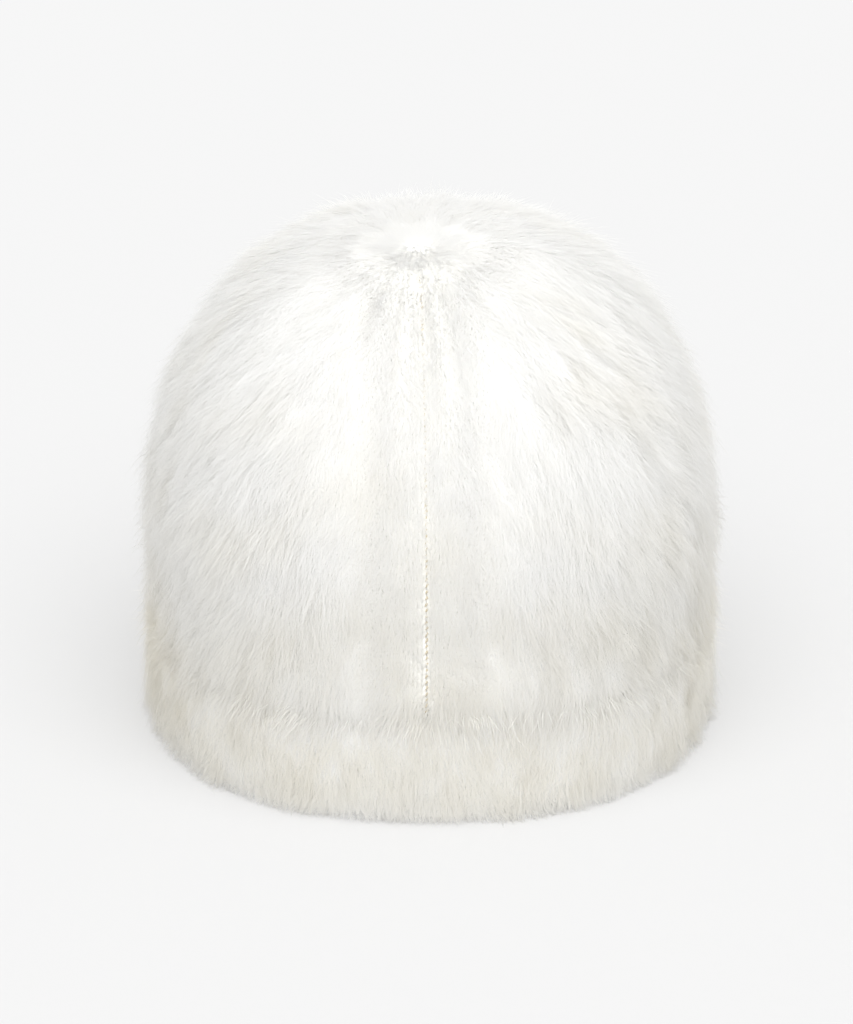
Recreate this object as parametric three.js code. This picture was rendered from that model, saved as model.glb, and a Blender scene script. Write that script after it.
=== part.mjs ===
// A brushed, long-pile knitted beanie with a turned-up cuff, standing on its rim.
// Millimetres, +Z up. The origin is on the surface it stands on, under the middle of the head hollow.
// The centre-back seam faces -Y and the wearer's brow +Y.
// An azimuth is measured round the hat from the back: 0 degrees is -Y, 90 degrees is +X.

import * as THREE from 'three';

// The hollow for the head: a rounded plan that rises straight to the shoulder, then closes in a dome.
// A plan or dome power of 2 is a true ellipse; above 2 it is fuller at its corners.
const HOLLOW = {
  halfWidth: 82.5,
  halfDepth: 98.3,
  height: 155,
  shoulder: 62,
  planPower: 2.32,
  domePower: 2.18,
};

// The layers from the hollow outwards, with the clearance that lies between two of them.
const KNIT = 3;
const CLEARANCE = 0.3;
const PILE_FOOT = KNIT + CLEARANCE;
const CROWN_PILE = { depth: 8.4, leastShare: 0.5, fullFromSeam: 26, fullFromGather: 56, fullFromHem: 5 };

// The turned-up cuff: the knit folds up outside itself at the rim.
const CUFF_HEIGHT = 35;
const CUFF_LEAF = { inside: KNIT + CLEARANCE, outside: 2 * KNIT + CLEARANCE };
const CUFF_ROUNDING = 0.8;
const CUFF_PILE_INSIDE = CUFF_LEAF.outside + CLEARANCE;
const CUFF_PILE_DEPTH = 6.5;
const CUFF_PILE_TOP = { height: 34.6, slopeFrom: 24, depthShare: 0.06 };

// The crown pile's hem starts just outside the cuff's leaf and hangs over the top of the cuff's pile.
const HEM_CLEARANCE = 5 * CLEARANCE;
const PILE_LIP = CUFF_PILE_INSIDE + CLEARANCE;

// The crown is drawn up on a thread at one point, a little behind the top of the head.
const GATHER = { place: new THREE.Vector2(-4, -16), eyelet: 3, pileEdge: 8.6 };
const GATHER_KNOT = { radius: 7.6, rise: 3.4, dimple: 1.3, neck: 1.9, seat: 0.5 };

// The back seam runs from the gather down to the cuff in a parting of the pile.
const SEAM = { azimuth: -0.8, halfWidth: 1.1, edge: 0.4, rise: 2.0, parting: 1.7 };

// The main folds that run out from the gather and fade down the crown.
const FOLDS = [
  { azimuth: -150, halfWidth: 17, lift: 1.0, reach: 48 },
  { azimuth: -102, halfWidth: 15, lift: 0.8, reach: 50 },
  { azimuth: -58, halfWidth: 12, lift: 1.8, reach: 66 },
  { azimuth: -14, halfWidth: 8, lift: 1.8, reach: 52 },
  { azimuth: 16, halfWidth: 9, lift: 2.2, reach: 64 },
  { azimuth: 46, halfWidth: 10, lift: 1.0, reach: 44 },
  { azimuth: 79, halfWidth: 15, lift: 3.2, reach: 66 },
  { azimuth: 124, halfWidth: 15, lift: 1.4, reach: 50 },
  { azimuth: 168, halfWidth: 14, lift: 1.0, reach: 46 },
];
const FOLD_RISE = { start: 9, end: 20 };
const FOLD_FADE = 0.4;

// The stations that the crown's wall and its pile share: the shoulder, steps up the dome,
// and the edge of the pile about the gather.
const CLIMB = [
  { height: HOLLOW.shoulder },
  ...[12, 24, 36, 47, 57, 66, 74, 81].map((swing) => ({ swing })),
  { radius: GATHER.pileEdge },
];
const COLUMNS = 64;
const FULL_TURN = 360;

const radians = THREE.MathUtils.degToRad;
const smoothstep = THREE.MathUtils.smoothstep;

// The smallest angle between two azimuths, in degrees.
function turnBetween(azimuthA, azimuthB) {
  const turn = Math.abs(azimuthA - azimuthB) % FULL_TURN;
  return Math.min(turn, FULL_TURN - turn);
}

// How far a place lies from the hollow's axis: 0 on the axis and 1 on the rim's plan outline.
function planFraction(x, y, offset) {
  const { halfWidth, halfDepth, planPower } = HOLLOW;
  const across = Math.abs(x / (halfWidth + offset)) ** planPower;
  const along = Math.abs(y / (halfDepth + offset)) ** planPower;
  return (across + along) ** (1 / planPower);
}

// The point of the plan outline, at an offset outside the hollow, in the direction of an azimuth.
function rimPoint(azimuth, offset) {
  const x = Math.sin(radians(azimuth));
  const y = -Math.cos(radians(azimuth));
  const reach = 1 / planFraction(x, y, offset);
  return new THREE.Vector2(x * reach, y * reach);
}

// How far the folds lift the crown at an azimuth and a distance from the gather.
function foldLift(azimuth, distance) {
  let lift = 0;
  for (const fold of FOLDS) {
    const acrossFold = Math.exp(-((turnBetween(azimuth, fold.azimuth) / fold.halfWidth) ** 2));
    const rise = smoothstep(distance, FOLD_RISE.start, FOLD_RISE.end);
    const fade = 1 - smoothstep(distance, FOLD_FADE * fold.reach, fold.reach);
    lift += fold.lift * acrossFold * rise * fade;
  }
  return lift;
}

// How far a station lies from the gather in plan, along the meridian of an azimuth.
function distanceFromGather(azimuth, station, offset) {
  if (station.radius !== undefined) {
    return station.radius;
  }
  const reach = rimPoint(azimuth, offset).distanceTo(GATHER.place);
  const swing = station.swing ?? 0;
  return reach * Math.cos(radians(swing)) ** (2 / HOLLOW.domePower);
}

// A point on the surface that lies an offset outside the hollow.
// A station is a height on the straight wall, or a swing in degrees up the dome,
// or a radius about the gather. On the dome each meridian runs straight in plan from rim to gather.
function hatPoint(azimuth, station, offset) {
  const rim = rimPoint(azimuth, offset);
  if (station.height !== undefined) {
    return new THREE.Vector3(rim.x, rim.y, station.height);
  }
  const { shoulder, height, domePower } = HOLLOW;
  const distance = distanceFromGather(azimuth, station, offset);
  const lifted = offset + foldLift(azimuth, distance);
  const plan = GATHER.place.clone().lerp(rimPoint(azimuth, lifted), distance / rim.distanceTo(GATHER.place));
  const climb = (1 - planFraction(plan.x, plan.y, lifted) ** domePower) ** (1 / domePower);
  return new THREE.Vector3(plan.x, plan.y, shoulder + (height + lifted - shoulder) * climb);
}

// The height of the crown pile's hem at an offset, just clear of the cuff pile's sloped top.
function pileHemHeight(offset) {
  const { height, slopeFrom, depthShare } = CUFF_PILE_TOP;
  const fall = (height - slopeFrom) / ((1 - depthShare) * CUFF_PILE_DEPTH);
  return height + HEM_CLEARANCE - fall * (offset - CUFF_PILE_INSIDE);
}

// A closed solid between two sheets of points, given as rows that climb and columns that go round.
// Open sheets, which don't meet themselves after a full turn, are closed at both ends as well.
function solidBetween(insideSheet, outsideSheet, isFullTurn) {
  const rows = outsideSheet.length;
  const columns = outsideSheet[0].length;
  const spans = isFullTurn ? columns : columns - 1;
  const positions = [...insideSheet.flat(), ...outsideSheet.flat()].flatMap((point) => point.toArray());
  const indices = [];
  const inside = (row, column) => row * columns + (column % columns);
  const outside = (row, column) => rows * columns + inside(row, column);
  const quad = (a, b, c, d) => indices.push(a, b, c, a, c, d);

  for (let column = 0; column < spans; column += 1) {
    const next = column + 1;
    const top = rows - 1;
    quad(inside(0, column), inside(0, next), outside(0, next), outside(0, column));
    quad(outside(top, column), outside(top, next), inside(top, next), inside(top, column));
    for (let row = 0; row < top; row += 1) {
      quad(outside(row, column), outside(row, next), outside(row + 1, next), outside(row + 1, column));
      quad(inside(row, column), inside(row + 1, column), inside(row + 1, next), inside(row, next));
    }
  }
  if (!isFullTurn) {
    const last = columns - 1;
    for (let row = 0; row < rows - 1; row += 1) {
      quad(inside(row, 0), outside(row, 0), outside(row + 1, 0), inside(row + 1, 0));
      quad(outside(row, last), inside(row, last), inside(row + 1, last), outside(row + 1, last));
    }
  }

  const geometry = new THREE.BufferGeometry();
  geometry.setAttribute('position', new THREE.Float32BufferAttribute(positions, 3));
  geometry.setIndex(indices);
  geometry.computeVertexNormals();
  return geometry;
}

// The azimuths of the columns at a station. They start and end at the edges of the seam's parting,
// which keeps one width all the way up, so the angle that it takes opens towards the gather.
function columnAzimuths(station) {
  const edge = Math.asin(SEAM.parting / distanceFromGather(SEAM.azimuth, station, PILE_FOOT));
  const start = SEAM.azimuth + THREE.MathUtils.radToDeg(edge);
  const turn = FULL_TURN - 2 * THREE.MathUtils.radToDeg(edge);
  return Array.from({ length: COLUMNS + 1 }, (_, column) => start + (turn * column) / COLUMNS);
}

// One row of points for each { station, offset }. An offset may be a function of the azimuth.
function sheetOf(rows) {
  return rows.map(({ station, offset }) => {
    const offsetAt = typeof offset === 'function' ? offset : () => offset;
    return columnAzimuths(station).map((azimuth) => hatPoint(azimuth, station, offsetAt(azimuth)));
  });
}

function namedMesh(name, geometry, colour, roughness) {
  const material = new THREE.MeshStandardMaterial({ color: colour, roughness, metalness: 0 });
  const mesh = new THREE.Mesh(geometry, material);
  mesh.name = name;
  return mesh;
}

// The knitted wall of the crown, from just above the rim's fold to the eyelet of the gather.
function makeCrown() {
  const stations = [
    { height: KNIT + 2 * CLEARANCE },
    { height: CUFF_HEIGHT },
    ...CLIMB,
    { radius: GATHER.eyelet },
  ];
  const insideSheet = sheetOf(stations.map((station) => ({ station, offset: 0 })));
  const outsideSheet = sheetOf(stations.map((station) => ({ station, offset: KNIT })));
  return namedMesh('crown', solidBetween(insideSheet, outsideSheet, true), 0xf3f1ea, 0.95);
}

// How deep the crown's pile is: short beside the seam and about the gather, full elsewhere.
function crownPileDepth(azimuth, station) {
  const fromGather = distanceFromGather(azimuth, station, KNIT);
  const fromSeam = fromGather * radians(turnBetween(azimuth, SEAM.azimuth));
  const { depth, leastShare, fullFromSeam, fullFromGather } = CROWN_PILE;
  const besideSeam = smoothstep(fromSeam, SEAM.parting, fullFromSeam);
  const aboutGather = smoothstep(fromGather, GATHER.pileEdge, fullFromGather);
  return depth * THREE.MathUtils.lerp(leastShare, 1, Math.min(besideSeam, aboutGather));
}

// The outer form of the crown's pile, parted along the seam and open about the gather.
// Its hem hangs over the sloped top of the cuff's pile.
function makeCrownPile() {
  const hemFoot = { height: CUFF_HEIGHT + 2 * CLEARANCE };
  const insideRows = [
    { station: { height: pileHemHeight(PILE_LIP) }, offset: PILE_LIP },
    { station: hemFoot, offset: PILE_FOOT },
    ...CLIMB.map((station) => ({ station, offset: PILE_FOOT })),
  ];
  const outsideStations = [hemFoot, { height: CUFF_HEIGHT + CROWN_PILE.fullFromHem }, ...CLIMB];
  const outsideRows = outsideStations.map((station) => {
    return { station, offset: (azimuth) => PILE_FOOT + crownPileDepth(azimuth, station) };
  });
  const outsideSheet = sheetOf(outsideRows);
  outsideSheet[0].forEach((point, column) => {
    const azimuth = columnAzimuths(hemFoot)[column];
    point.setZ(pileHemHeight(PILE_FOOT + crownPileDepth(azimuth, hemFoot)));
  });
  return namedMesh('crown_pile', solidBetween(sheetOf(insideRows), outsideSheet, false), 0xf6f5f0, 1);
}

// The knitted turn-up: a flat fold to stand on and a leaf that rises outside the crown's wall.
function makeCuff() {
  const { inside, outside } = CUFF_LEAF;
  const atHeight = (offset, height) => ({ offset, station: { height } });
  const insideRows = [
    atHeight(0, CUFF_ROUNDING),
    atHeight(0, KNIT),
    atHeight(inside, KNIT),
    atHeight(inside, CUFF_HEIGHT - CUFF_ROUNDING),
    atHeight(inside + CUFF_ROUNDING, CUFF_HEIGHT),
  ];
  const outsideRows = [
    atHeight(CUFF_ROUNDING, 0),
    atHeight(outside - CUFF_ROUNDING, 0),
    atHeight(outside, CUFF_ROUNDING),
    atHeight(outside, CUFF_HEIGHT - CUFF_ROUNDING),
    atHeight(outside - CUFF_ROUNDING, CUFF_HEIGHT),
  ];
  return namedMesh('cuff', solidBetween(sheetOf(insideRows), sheetOf(outsideRows), true), 0xf0ede3, 0.95);
}

// The outer form of the cuff's pile: full at mid height, rounded under and sloped in at its top.
function makeCuffPile() {
  const section = [
    { height: CLEARANCE, depth: 0.8 },
    { height: 1.4, depth: 0.94 },
    { height: 5, depth: 1 },
    { height: CUFF_PILE_TOP.slopeFrom, depth: 1 },
    { height: CUFF_PILE_TOP.height, depth: CUFF_PILE_TOP.depthShare },
  ];
  const insideRows = section.map(({ height }) => ({ station: { height }, offset: CUFF_PILE_INSIDE }));
  const outsideRows = section.map(({ height, depth }) => {
    return { station: { height }, offset: CUFF_PILE_INSIDE + depth * CUFF_PILE_DEPTH };
  });
  const geometry = solidBetween(sheetOf(insideRows), sheetOf(outsideRows), true);
  return namedMesh('cuff_pile', geometry, 0xefece0, 1);
}

// The ridge where the knit's two edges are sewn together, from the gather down to the cuff.
// Its section is a low arch, carried along the parting on the outside of the crown's wall.
function makeBackSeam() {
  const arch = [
    { across: -1, rise: 0 },
    { across: -0.85, rise: 0.7 },
    { across: 0, rise: 1 },
    { across: 0.85, rise: 0.7 },
    { across: 1, rise: 0 },
  ];
  const stations = [{ height: CUFF_HEIGHT + 3 * CLEARANCE }, ...CLIMB];
  const sheet = (riseAt) => stations.map((station) => {
    const distance = distanceFromGather(SEAM.azimuth, station, PILE_FOOT);
    return arch.map(({ across, rise }) => {
      const aside = THREE.MathUtils.radToDeg((across * SEAM.halfWidth) / distance);
      return hatPoint(SEAM.azimuth + aside, station, PILE_FOOT + riseAt(rise));
    });
  });
  const foot = CLEARANCE;
  const insideSheet = sheet(() => foot);
  const outsideSheet = sheet((rise) => foot + SEAM.edge + SEAM.rise * rise);
  const geometry = solidBetween(insideSheet, outsideSheet, false);
  return namedMesh('back_seam', geometry, 0xe6e2d6, 0.95);
}

// The drawn-up knot that closes the crown: a puckered button with a neck through the eyelet.
// It leans back with the crown's slope at that place.
function makeCrownGather() {
  const { radius, rise, dimple, neck, seat } = GATHER_KNOT;
  const profile = [
    new THREE.Vector2(0, -KNIT),
    new THREE.Vector2(neck, -KNIT),
    new THREE.Vector2(neck, seat),
    new THREE.Vector2(radius - 0.6, seat),
    new THREE.Vector2(radius, 0.4 * rise),
    new THREE.Vector2(0.8 * radius, 0.9 * rise),
    new THREE.Vector2(0.5 * radius, rise),
    new THREE.Vector2(0.2 * radius, rise - 0.6 * dimple),
    new THREE.Vector2(0, rise - dimple),
  ];
  const geometry = new THREE.LatheGeometry(profile, 24);
  geometry.rotateX(Math.PI / 2);
  const knot = namedMesh('crown_gather', geometry, 0xeeebe2, 0.95);

  const heightAt = (shift) => {
    const place = { x: GATHER.place.x, y: GATHER.place.y + shift };
    const out = planFraction(place.x, place.y, KNIT);
    const climb = (1 - out ** HOLLOW.domePower) ** (1 / HOLLOW.domePower);
    return HOLLOW.shoulder + (HOLLOW.height + KNIT - HOLLOW.shoulder) * climb;
  };
  const slope = (heightAt(radius) - heightAt(-radius)) / (2 * radius);
  knot.position.set(GATHER.place.x, GATHER.place.y, heightAt(0));
  knot.rotation.x = Math.atan(slope);
  return knot;
}

const beanie = new THREE.Group();
beanie.add(
  makeCrown(),
  makeCrownPile(),
  makeCuff(),
  makeCuffPile(),
  makeBackSeam(),
  makeCrownGather(),
);

export default beanie;
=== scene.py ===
# %% [markdown]
# # A fluffy knitted beanie, seen from behind
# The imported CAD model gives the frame: where each piece lies and how large it is.
# This script gives each piece its real surface: knitted yarn, a sewn seam and a deep white pile.

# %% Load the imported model
import math
import time

import bpy
import numpy as np
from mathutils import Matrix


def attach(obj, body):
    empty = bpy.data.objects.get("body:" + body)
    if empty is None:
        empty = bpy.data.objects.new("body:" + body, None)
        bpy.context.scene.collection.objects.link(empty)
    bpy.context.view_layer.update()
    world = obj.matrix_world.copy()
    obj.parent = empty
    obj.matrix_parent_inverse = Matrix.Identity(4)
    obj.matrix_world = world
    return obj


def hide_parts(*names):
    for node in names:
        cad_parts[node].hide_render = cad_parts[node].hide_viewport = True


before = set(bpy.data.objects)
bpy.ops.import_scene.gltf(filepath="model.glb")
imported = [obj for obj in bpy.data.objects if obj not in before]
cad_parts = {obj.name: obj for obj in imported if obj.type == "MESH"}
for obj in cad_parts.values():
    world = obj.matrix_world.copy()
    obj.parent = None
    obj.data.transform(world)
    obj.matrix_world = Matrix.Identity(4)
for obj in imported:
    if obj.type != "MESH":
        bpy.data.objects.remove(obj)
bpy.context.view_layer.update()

started = time.time()

# %% [markdown]
# ## The camera
# The camera looks down on the hat by 21.5 degrees from 1.6 m away, through a long lens. A single
# photo doesn't say how far off its camera was, so that distance is assumed.

# %% Camera
CAMERA_TILT = math.radians(21.5)
CAMERA_DISTANCE = 1.6
AIM = (-0.0013, 0.0, 0.0623)
PICTURE_HEIGHT = 1024
FOCAL_PIXELS = 4864
FILM = 36.0
FAR_CLIP = 50

camera_data = bpy.data.cameras.new("camera")
camera_data.sensor_width = FILM
camera_data.lens = FILM * FOCAL_PIXELS / PICTURE_HEIGHT
camera_data.clip_end = FAR_CLIP
camera = bpy.data.objects.new("camera", camera_data)
bpy.context.scene.collection.objects.link(camera)
camera.location = (
    AIM[0],
    AIM[1] - CAMERA_DISTANCE * math.cos(CAMERA_TILT),
    AIM[2] + CAMERA_DISTANCE * math.sin(CAMERA_TILT),
)
camera.rotation_euler = (math.pi / 2 - CAMERA_TILT, 0, 0)
bpy.context.scene.camera = camera
print("lens", round(camera_data.lens, 1), "mm at", [round(v, 3) for v in camera.location])

# %% [markdown]
# ## Tools for meshes and materials
# Every piece is computed as arrays of points, because Blender takes in a whole array at once much
# faster than point by point. A finished piece also hides the CAD pieces it stands for.

# %% Putting arrays into a mesh
FUR_MAP = "OFBake"
KNIT_MAP = "stitches"
totals = {}


def link_mesh(name, points, corners, sizes, uv=None, normals=None, smooth=True, uv_name=FUR_MAP):
    """A mesh object from points (n, 3), the faces' corners one after another, and each face's size."""
    mesh = bpy.data.meshes.new(name)
    mesh.vertices.add(len(points))
    mesh.vertices.foreach_set("co", np.ascontiguousarray(points, np.float32).ravel())
    mesh.loops.add(len(corners))
    mesh.loops.foreach_set("vertex_index", np.ascontiguousarray(corners, np.int32))
    mesh.polygons.add(len(sizes))
    starts = np.concatenate([[0], np.cumsum(sizes)[:-1]]).astype(np.int32)
    mesh.polygons.foreach_set("loop_start", starts)
    mesh.polygons.foreach_set("use_smooth", np.full(len(sizes), smooth))
    if uv is not None:
        layer = mesh.uv_layers.new(name=uv_name)
        layer.uv.foreach_set("vector", np.ascontiguousarray(uv, np.float32).ravel())
    mesh.update(calc_edges=True)
    if normals is not None:
        mesh.normals_split_custom_set_from_vertices(np.ascontiguousarray(normals, np.float32))
    piece = bpy.data.objects.new(name, mesh)
    bpy.context.scene.collection.objects.link(piece)
    return piece


def finish_piece(piece, materials, slot, *nodes):
    """Gives a piece its materials, hangs it on the body's root and hides the CAD parts it stands for."""
    for material in materials:
        piece.data.materials.append(material)
    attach(piece, "root")
    if nodes:
        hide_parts(*nodes)
    triangles = len(piece.data.loops) - 2 * len(piece.data.polygons)
    totals[piece.name] = triangles
    print(f"{piece.name}: {triangles} triangles, {time.time() - started:.1f} s")


def dull_material(name, roughness, shine):
    """A new material with its nodes, its links and its surface shader, which is rough and hardly shines."""
    material = bpy.data.materials.new(name)
    material.use_nodes = True
    nodes = material.node_tree.nodes
    shader = nodes["Principled BSDF"]
    shader.inputs["Roughness"].default_value = roughness
    shader.inputs["Specular IOR Level"].default_value = shine
    return material, nodes, material.node_tree.links, shader


def colour_between(nodes, links, share, first, second):
    """The first colour where the share is 0 and the second where it is 1. A colour is RGB or a socket."""
    mix = nodes.new("ShaderNodeMix")
    mix.data_type = "RGBA"
    links.new(share, mix.inputs["Factor"])
    for socket, colour in (("A", first), ("B", second)):
        if isinstance(colour, tuple):
            mix.inputs[socket].default_value = (*colour, 1)
        else:
            links.new(colour, mix.inputs[socket])
    return mix.outputs["Result"]


print("maps:", FUR_MAP, "for fur and", KNIT_MAP, "for knit")

# %% [markdown]
# ## The floor and the light
# The picture is almost white on white. A bright, even sky and a broad sun from above leave
# the crown the lightest place and let the sides and the cuff fall off softly. The floor gives off
# some light of its own, which keeps it near white and weakens the shade beside the hat.

# %% Floor
FLOOR_HALF = 6.0
FLOOR_GREY = 0.40
FLOOR_GLOW = 0.345
floor_points = FLOOR_HALF * np.array([[-1, -1, 0], [1, -1, 0], [1, 1, 0], [-1, 1, 0]])
floor = link_mesh("floor", floor_points, np.arange(4), np.array([4]), smooth=False)
floor_material, _, _, floor_shader = dull_material("floor_paint", roughness=0.9, shine=0.0)
floor_shader.inputs["Base Color"].default_value = (FLOOR_GREY, FLOOR_GREY, FLOOR_GREY, 1)
floor_shader.inputs["Emission Color"].default_value = (1, 1, 1, 1)
floor_shader.inputs["Emission Strength"].default_value = FLOOR_GLOW
floor.data.materials.append(floor_material)
print("floor", 2 * FLOOR_HALF, "m wide")

# %% Light
SKY_STRENGTH = 0.74
SUN_STRENGTH = 2.55
SUN_SPREAD = math.radians(70)
SUN_TILT = math.radians(28)
SUN_ASIDE = math.radians(3)
LIGHT_BOUNCES = 12

world = bpy.data.worlds.new("studio")
world.use_nodes = True
world.node_tree.nodes["Background"].inputs["Color"].default_value = (1, 1, 1, 1)
world.node_tree.nodes["Background"].inputs["Strength"].default_value = SKY_STRENGTH
bpy.context.scene.world = world

sun_data = bpy.data.lights.new("soft_sun", "SUN")
sun_data.energy = SUN_STRENGTH
sun_data.angle = SUN_SPREAD
sun = bpy.data.objects.new("soft_sun", sun_data)
sun.rotation_euler = (SUN_TILT, SUN_ASIDE, 0)
bpy.context.scene.collection.objects.link(sun)
bpy.context.scene.view_settings.view_transform = "Standard"
bpy.context.scene.cycles.max_bounces = LIGHT_BOUNCES
bpy.context.scene.cycles.diffuse_bounces = LIGHT_BOUNCES
print("sky", SKY_STRENGTH, "sun", SUN_STRENGTH)

# %% [markdown]
# ## The form of the hat
# All the pieces lie on one surface: a rounded plan that goes straight up to the shoulder and closes
# in a dome. Every meridian of the dome runs to the gather, where the knit is drawn up on a thread.
# A place is given by its azimuth (0 at the back seam, towards +X), its climb (0 at the rim,
# 1 at the shoulder, 2 at the gather) and its offset outside the head's hollow.

# %% Surface of the hat
MM = 0.001
HALF_WIDTH = 82.5 * MM
HALF_DEPTH = 98.3 * MM
HEIGHT = 155 * MM
SHOULDER = 62 * MM
PLAN_POWER = 2.32
DOME_POWER = 2.18
KNIT = 3.0 * MM
GATHER = np.array([-4.0, -16.0]) * MM
SEAM_AZIMUTH = -0.8
CUFF_HEIGHT = 35 * MM

# Folds at the gather: azimuth and half width in degrees, then lift, start and reach in mm.
FOLDS = np.array([
    (-150, 14, 1.0, 9, 48),
    (-118, 10, 0.9, 9, 44),
    (-88, 9, 0.8, 9, 50),
    (-57, 11, 2.1, 9, 76),
    (-35, 6, 1.4, 9, 56),
    (-15.5, 4.6, 2.2, 11, 66),
    (-6.5, 3.2, 1.8, 20, 84),
    (6.3, 3.0, 2.2, 11, 92),
    (18.5, 6.0, 2.6, 14, 82),
    (34, 5.5, 1.5, 9, 60),
    (50, 7.0, -1.0, 44, 90),
    (79, 14, 3.0, 9, 74),
    (108, 9, 0.8, 9, 44),
    (134, 10, 1.3, 9, 50),
    (168, 12, 1.0, 9, 46),
])
FOLD_STRENGTH = 1.3
FOLD_RISE = 11
FADE_START = 0.45
MOUND = 1.6 * MM
MOUND_REACH = 16 * MM
GROOVE_DEPTH = 1.1 * MM
GROOVE_HALF_WIDTH = 3.2 * MM
GROOVE_START = 15 * MM
GROOVE_FULL = 70 * MM


def smoothstep(value, low, high):
    """0 below low, 1 above high, and an S-shaped rise between them."""
    t = np.clip((value - low) / (high - low), 0, 1)
    return t * t * (3 - 2 * t)


def plan_fraction(x, y, offset):
    """How far out a place is: the root of the sum of its shares of the two half axes, each to a power."""
    across = np.abs(x / (HALF_WIDTH + offset)) ** PLAN_POWER
    along = np.abs(y / (HALF_DEPTH + offset)) ** PLAN_POWER
    return (across + along) ** (1 / PLAN_POWER)


def rim_point(azimuth, offset):
    """The plan outline in the direction of an azimuth: a unit direction over its plan fraction."""
    x = np.sin(np.radians(azimuth))
    y = -np.cos(np.radians(azimuth))
    reach = 1 / plan_fraction(x, y, offset)
    return x * reach, y * reach


def fold_lift(azimuth, distance):
    """The low mound at the gather, a bell, and the folds: bells across, which rise and fade outwards."""
    lift = np.zeros(np.broadcast(azimuth, distance).shape) + MOUND * np.exp(-((distance / MOUND_REACH) ** 2))
    for centre, half_width, height, start, reach in FOLDS:
        turn = (azimuth - centre + 180) % 360 - 180
        bell = np.exp(-((turn / half_width) ** 2))
        rise = smoothstep(distance, start * MM, (start + FOLD_RISE) * MM)
        fade = 1 - smoothstep(distance, FADE_START * reach * MM, reach * MM)
        lift += FOLD_STRENGTH * height * MM * bell * rise * fade
    return lift


def share_of_meridian(climb):
    """1 on the wall, then the cosine of the dome's swing to the power 2 over the dome's power."""
    swing = np.clip(climb - 1, 0, 1) * math.pi / 2
    return np.cos(swing).clip(0, 1) ** (2 / DOME_POWER)


def from_gather(azimuth, climb):
    """The distance in plan from the gather, along the meridian."""
    x, y = rim_point(azimuth, KNIT)
    return share_of_meridian(climb) * np.hypot(x - GATHER[0], y - GATHER[1])


def from_seam(azimuth, climb):
    """The distance sideways from the back seam, positive towards +X: an arc of the plan."""
    x, y = rim_point(azimuth, KNIT)
    turn = (azimuth - SEAM_AZIMUTH + 180) % 360 - 180
    return share_of_meridian(climb) * np.hypot(x, y) * np.radians(turn)


def hat_surface(azimuth, climb, offset):
    """Points of the hat: the rim's outline, drawn in towards the gather and raised on the dome's curve.

    The folds add to the offset. The seam's groove, a bell across, takes from it outside the hollow.
    """
    azimuth, climb, offset = np.broadcast_arrays(*np.atleast_1d(azimuth, climb, offset))
    share = share_of_meridian(climb)
    groove = -GROOVE_DEPTH * np.exp(-((from_seam(azimuth, climb) / GROOVE_HALF_WIDTH) ** 2))
    groove = groove * smoothstep(from_gather(azimuth, climb), GROOVE_START, GROOVE_FULL)
    lift = offset + fold_lift(azimuth, from_gather(azimuth, climb)) + groove * (offset > 0)
    rim_x, rim_y = rim_point(azimuth, lift)
    x = GATHER[0] + share * (rim_x - GATHER[0])
    y = GATHER[1] + share * (rim_y - GATHER[1])
    out = plan_fraction(x, y, lift).clip(0, 1)
    dome = SHOULDER + (HEIGHT + lift - SHOULDER) * (1 - out ** DOME_POWER).clip(0) ** (1 / DOME_POWER)
    z = np.where(climb < 1, climb * SHOULDER, dome)
    x = np.where(climb < 1, rim_x, x)
    y = np.where(climb < 1, rim_y, y)
    return np.stack([x, y, z], axis=-1)


def unit(vectors):
    """Vectors scaled to length 1."""
    return vectors / np.maximum(np.linalg.norm(vectors, axis=-1, keepdims=True), 1e-12)


def surface_frame(azimuth, climb, offset):
    """The point, the direction round the hat, the direction down it and the outward normal."""
    step_azimuth, step_climb = 0.2, 0.002
    point = hat_surface(azimuth, climb, offset)
    around = hat_surface(azimuth + step_azimuth, climb, offset)
    around = unit(around - hat_surface(azimuth - step_azimuth, climb, offset))
    down = hat_surface(azimuth, climb - step_climb, offset)
    down = unit(down - hat_surface(azimuth, climb + step_climb, offset))
    normal = unit(np.cross(down, around))
    return point, around, down, normal


print("a point of the brow:", hat_surface(180, 1.0, 0.0).round(4).tolist())

# %% [markdown]
# ## Where the fur is deep
# The pile is thin along the seam and about the gather, where stitches show, and deep elsewhere.
# One number from 0 to 1 says so, and the knit, the hairs and the colours all follow it.

# %% How full the pile is
THIN_BESIDE_SEAM, FULL_BESIDE_SEAM = 6 * MM, 38 * MM
THIN_ABOUT_GATHER, FULL_ABOUT_GATHER = 8 * MM, 62 * MM


def fullness(azimuth, climb):
    """The smaller of two S-shaped rises from 0 to 1: away from the seam and away from the gather."""
    beside = smoothstep(np.abs(from_seam(azimuth, climb)), THIN_BESIDE_SEAM, FULL_BESIDE_SEAM)
    about = smoothstep(from_gather(azimuth, climb), THIN_ABOUT_GATHER, FULL_ABOUT_GATHER)
    return np.minimum(beside, about)


NAP = 4.4 * MM
HEM_SWELL = 5.4 * MM
HEM_REACH = 52 * MM


def ground_offset(climb):
    """The knit's outer face, which swells over the cuff's top edge so that the two run together."""
    height = climb * SHOULDER
    return KNIT + HEM_SWELL * (1 - smoothstep(height, CUFF_HEIGHT - 2 * MM, CUFF_HEIGHT + HEM_REACH))


def nap_offset(azimuth, climb):
    """The brushed face of the knit: thin by the seam, and thickened with matted fibre elsewhere."""
    return np.maximum(ground_offset(climb), KNIT + NAP * fullness(azimuth, climb))


print("fullness at the brow and the seam:", [float(fullness(turn, 1.0)) for turn in (180, SEAM_AZIMUTH)])

# %% [markdown]
# ## The knit
# The ground of the hat is a plain jersey knit, taken as 3 mm thick. It is a closed wall here:
# two sheets of a grid in azimuth and climb, joined at the rim and at the eyelet of the gather.
# Its stitches are too many to model all over, so a bump pattern draws them on the wall,
# and real loops of yarn lie on it along the seam, where the pile is thin.

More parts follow.
